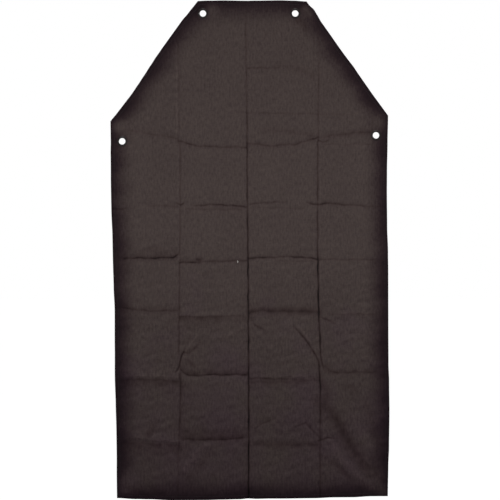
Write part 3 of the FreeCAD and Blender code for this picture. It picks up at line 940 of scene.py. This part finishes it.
def woven_cloth(name, tones, roughness, fleck_spread, painted_rim_shade_tone):
    """Close-woven coated cloth. tones are its colours as it gets lighter, and the last argument is how dark
    the painted shade at its rim is.
    """
    nodes = Nodes(name, roughness, 0.1)
    flat = nodes.attribute("flat_cut", "Vector")
    # the painted shade and highlight of the folds
    shade = nodes.attribute("shade", "Fac")
    # painted shade towards the outline, where the cloth turns away from the light; it is also rougher there
    open_cloth = nodes.spread(nodes.attribute("rim", "Fac"), 0, 1, *PAINTED_RIM_SHADE, shape="SMOOTHSTEP")
    # the painted rim shade, as a factor on the tone
    rim = nodes.spread(open_cloth, painted_rim_shade_tone, 1)
    # slubs: flecks longer than they are wide, mostly along the warp
    warp_fleck = nodes.noise(nodes.scaled(flat, (1.0, 1.0, 0.36)), 275.0, 1.5)
    weft_fleck = nodes.noise(nodes.scaled(flat, (0.4, 1.0, 1.0)), 330.0, 1.5)
    fleck = nodes.math("ADD", nodes.times(warp_fleck, WARP_SHARE), nodes.times(weft_fleck, 1 - WARP_SHARE))
    fleck = nodes.spread(fleck, 1 - fleck_spread, 1 + fleck_spread, *NOISE_RANGE)
    mottle = nodes.spread(nodes.noise(flat, 14.0, 3.0), 0.96, 1.04, *NOISE_RANGE)
    # painted shade: darker towards the hem, where the light falls off
    height = nodes.add("ShaderNodeSeparateXYZ", {"Vector": flat}).outputs["Z"]
    lower = nodes.spread(height, 0, 1, *TOWARDS_HEM)
    # the mottle now also carries the painted hem shade
    mottle = nodes.times(mottle, nodes.spread(lower, 1, PAINTED_HEM_SHADE))
    tone = nodes.times(rim, nodes.times(fleck, mottle))
    weave = nodes.weave(flat, WARP_PITCH, WEFT_PITCH)
    tone = nodes.times(tone, nodes.spread(weave, 0.82, 1.18))
    colour = nodes.ramp(nodes.times(tone, PLATEAU), tones)
    # the painted fold shade darkens the colour, and the painted highlight lightens it
    colour = nodes.dimmed(colour, nodes.math("POWER", shade, PAINTED_FOLD_SHADE_POWER))
    # the painted shade in a fold is browner
    colour = nodes.mixed_with(colour, PAINTED_FOLD_SHADE_TINT, nodes.spread(shade, 1, 0))
    # and more purple in random patches, and more so low down as painted shade where the warm light falls off
    patches_and_painted_shade = nodes.spread(nodes.noise(flat, 11.0, 4.0), -1.3, 1.3, *NOISE_RANGE)
    patches_and_painted_shade = nodes.times(nodes.math("ADD", patches_and_painted_shade, nodes.spread(lower, -1.1, 1.2)), 0.5)
    colour = nodes.mixed_with(colour, PATCH_AND_PAINTED_SHADE_TINT, patches_and_painted_shade)
    normal = nodes.bump(fleck, 0.00012, 0.5, under=nodes.bump(weave, THREAD_RELIEF, 0.7))
    dull = nodes.spread(open_cloth, roughness + 0.25, roughness)
    dull = nodes.math("ADD", dull, nodes.spread(fleck, -0.06, 0.06, 0.8, 1.2))
    return nodes.wear(colour, dull, normal)


def lead_vinyl():
    nodes = Nodes("lead_vinyl", 0.55, 0.4)
    flat = nodes.attribute("flat_cut", "Vector")
    grain = nodes.noise(flat, 900.0, 3.0)
    mottle = nodes.noise(flat, 60.0, 4.0)
    colour = nodes.ramp(mottle, [(0.3, (0.055, 0.056, 0.06)), (0.7, (0.085, 0.086, 0.09))])
    return nodes.wear(colour, nodes.spread(mottle, 0.45, 0.65), nodes.bump(grain, 0.00005, 0.4))


def thread_material():
    nodes = Nodes("thread", 0.6, 0.3)
    place = nodes.place()
    twist = nodes.ridges(place, "DIAGONAL", 0.0012)
    fuzz = nodes.noise(place, 2500.0, 2.0)
    colour = nodes.ramp(fuzz, [(0.3, (0.010, 0.008, 0.009)), (0.7, (0.020, 0.016, 0.017))])
    return nodes.wear(colour, nodes.spread(fuzz, 0.5, 0.75), nodes.bump(twist, 0.00008, 0.6))


def lint_material():
    nodes = Nodes("lint", 0.9, 0.1)
    place = nodes.place()
    fuzz = nodes.noise(place, 1800.0, 3.0)
    colour = nodes.ramp(fuzz, [(0.3, (0.35, 0.34, 0.33)), (0.7, (0.75, 0.74, 0.72))])
    return nodes.wear(colour, None, nodes.bump(fuzz, 0.0001, 0.5))


def eyelet_metal():
    """Black lacquer over brass, worn a little in random marks and patches."""
    nodes = Nodes("eyelet_black", 0.45, 0.20)
    place = nodes.place()
    marks = nodes.noise(place, 700.0, 4.0, 0.6)
    patches = nodes.noise(place, 160.0, 3.0)
    colour = nodes.ramp(marks, [(0.35, (0.010, 0.007, 0.007)), (0.72, (0.022, 0.016, 0.015))])
    roughness = nodes.spread(patches, 0.34, 0.56)
    return nodes.wear(colour, roughness, nodes.bump(marks, 0.00004, 0.3))


def patch_webbing():
    nodes = Nodes("patch_webbing", 0.8, 0.2)
    place = nodes.place()
    weave = nodes.weave(place, 0.0018, 0.0022)
    fuzz = nodes.noise(place, 1500.0, 2.0)
    colour = nodes.ramp(fuzz, [(0.3, (0.02, 0.02, 0.02)), (0.7, (0.04, 0.04, 0.04))])
    return nodes.wear(colour, None, nodes.bump(weave, 0.0002, 0.6))


# the cloth's tone in the open, away from its painted rim shade and painted fold shade, on the scale of its
# colours
PLATEAU = 0.8
# how the painted fold shade darkens and tints the colour
PAINTED_FOLD_SHADE_POWER = 1.25
PAINTED_FOLD_SHADE_TINT = (1.22, 0.82, 0.87)
# the purple of the random patches and of the painted shade low down
PATCH_AND_PAINTED_SHADE_TINT = (0.98, 0.90, 1.06)
# how dark the painted shade at the hem is
PAINTED_HEM_SHADE = 0.86
WARP_SHARE = 0.7
# most of a noise's values are between these
NOISE_RANGE = (0.3, 0.7)
# in metres: where the painted rim shade starts and ends, the heights between which the painted hem shade
# darkens the cloth, and its threads
PAINTED_RIM_SHADE = (-0.0043, 0.054)
TOWARDS_HEM = (-0.50, -0.90)
WARP_PITCH = 0.00095
WEFT_PITCH = 0.00115
THREAD_RELIEF = 0.00011
COVER_TONES = [
    (0, (0.001, 0.0006, 0.0008)), (0.264, (0.0147, 0.0078, 0.01)), (0.4, (0.0244, 0.0143, 0.016)),
    (0.8, (0.055, 0.04, 0.037)), (1, (0.069, 0.0512, 0.0472)),
]
LINING_TONES = [
    (0, (0.001, 0.0008, 0.001)), (0.4, (0.011, 0.0085, 0.0095)), (0.8, (0.028, 0.0225, 0.023)),
    (1, (0.036, 0.03, 0.03)),
]


def make_materials():
    return {
        # the last argument of each cloth is how dark its painted rim shade is
        "cover": woven_cloth("cover_cloth", COVER_TONES, roughness=0.58, fleck_spread=0.265, painted_rim_shade_tone=0.25),
        "lining": woven_cloth("lining_cloth", LINING_TONES, roughness=0.62, fleck_spread=0.22, painted_rim_shade_tone=0.55),
        "vinyl": lead_vinyl(),
        "thread": thread_material(),
        "lint": lint_material(),
        "eyelet": eyelet_metal(),
        "webbing": patch_webbing(),
    }


def dress_cad_nodes(materials):
    """Gives the CAD parts that show as they are their finished materials."""
    for eyelet in EYELETS:
        for node, material in (("grommet", "eyelet"), ("washer", "eyelet"), ("patch", "webbing")):
            mesh = frame["nodes"][f"{node}_{eyelet}"].data
            mesh.materials.clear()
            mesh.materials.append(materials[material])


# ---- the studio ----

VIEW_HEIGHT = 1.0835
VIEW_DISTANCE = 6.0
VIEW_MIDDLE = Vector((0.002, 0, -0.5125))
FLOOR_GAP = 0.1
FLOOR_RADIUS = 30.0
FLOOR_FADE = (0.5, 1.02)
WORLD_LIGHT = 0.10
SENSOR = 36
# each lamp: where it is, what it points at, its size and its power in watts
LAMPS = {
    "high_key": ((0, -2.8, 3.6), (0, 0, -0.5), (1.2, 0.8), 118),
    "front_fill": ((0.08, -1, -0.42), (0.08, 0, -0.42), (2.3, 0.5), 9),
    "back_fill": ((0.8, 2.6, 0.8), (0, 0, -0.5), (1.8, 1.8), 110),
}


def build_floor():
    """A pale floor under the hanging apron, which goes over to white away from it."""
    bm = bmesh.new()
    bmesh.ops.create_circle(bm, cap_ends=True, segments=128, radius=FLOOR_RADIUS)
    bmesh.ops.translate(bm, verts=bm.verts, vec=(0, 0, cad_box[0][2] - FLOOR_GAP))
    mesh = bpy.data.meshes.new("floor")
    bm.to_mesh(mesh)
    bm.free()
    floor = new_object("floor", mesh)
    nodes = Nodes("floor", 0.9, 0.1)
    on_floor = nodes.scaled(nodes.place(), (1, 1, 0))
    away = nodes.add("ShaderNodeVectorMath", {0: on_floor}, operation="LENGTH").outputs["Value"]
    white = nodes.spread(away, 0, 1, *FLOOR_FADE)
    nodes.fill(nodes.shader, {
        "Base Color": nodes.ramp(white, [(0, (0.8, 0.8, 0.8)), (1, (0, 0, 0))]),
        "Emission Color": (1, 1, 1, 1),
        "Emission Strength": white,
    })
    floor.data.materials.append(nodes.material)
    # it doesn't light the apron from below
    floor.visible_diffuse = False
    floor.visible_glossy = False


def build_world():
    """White where the camera looks past the object, and a dimmer, even light on the object itself."""
    world = bpy.data.worlds.new("studio")
    world.use_nodes = True
    tree = world.node_tree
    background = tree.nodes["Background"]
    background.inputs["Color"].default_value = (1, 1, 1, 1)
    path = tree.nodes.new("ShaderNodeLightPath")
    strength = tree.nodes.new("ShaderNodeMapRange")
    strength.inputs["To Min"].default_value = WORLD_LIGHT
    tree.links.new(path.outputs["Is Camera Ray"], strength.inputs["Value"])
    tree.links.new(strength.outputs["Result"], background.inputs["Strength"])
    bpy.context.scene.world = world


def build_lights():
    for name, (place, target, size, power) in LAMPS.items():
        light = bpy.data.lights.new(name, "AREA")
        light.shape = "RECTANGLE"
        light.size, light.size_y = size
        light.energy = power
        lamp = new_object(name, light)
        lamp.location = place
        lamp.rotation_euler = (Vector(target) - Vector(place)).to_track_quat("-Z", "Y").to_euler()
        lamp.visible_camera = False


def build_camera():
    camera_data = bpy.data.cameras.new("camera")
    camera_data.sensor_width = SENSOR
    camera_data.lens = SENSOR / 2 / (VIEW_HEIGHT / 2 / VIEW_DISTANCE)
    camera = new_object("camera", camera_data)
    camera.location = VIEW_MIDDLE + Vector((0, -VIEW_DISTANCE, 0))
    camera.rotation_euler = (math.pi / 2, 0, 0)
    bpy.context.scene.camera = camera


# ---- the scene ----

def main():
    bpy.context.scene.view_settings.view_transform = "Standard"
    materials = make_materials()
    build_camera()
    build_world()
    build_lights()
    build_floor()
    dress_cad_nodes(materials)
    insets = (0.08, 0.25, 0.5, SEAM - 1.6, SEAM, SEAM + 1.6, ALLOWANCE - 0.1, ALLOWANCE)
    build_covers(FlatCut(coarse=3.4, close=1.6, insets=insets), materials)
    build_plies(FlatCut(coarse=7.0, close=2.6, insets=(ALLOWANCE,)), materials)
    build_stitches(-1, "front_stitches", "front_seam", materials["thread"])
    build_stitches(1, "back_stitches", "back_seam", materials["thread"])
    build_lint(materials["lint"])


main()
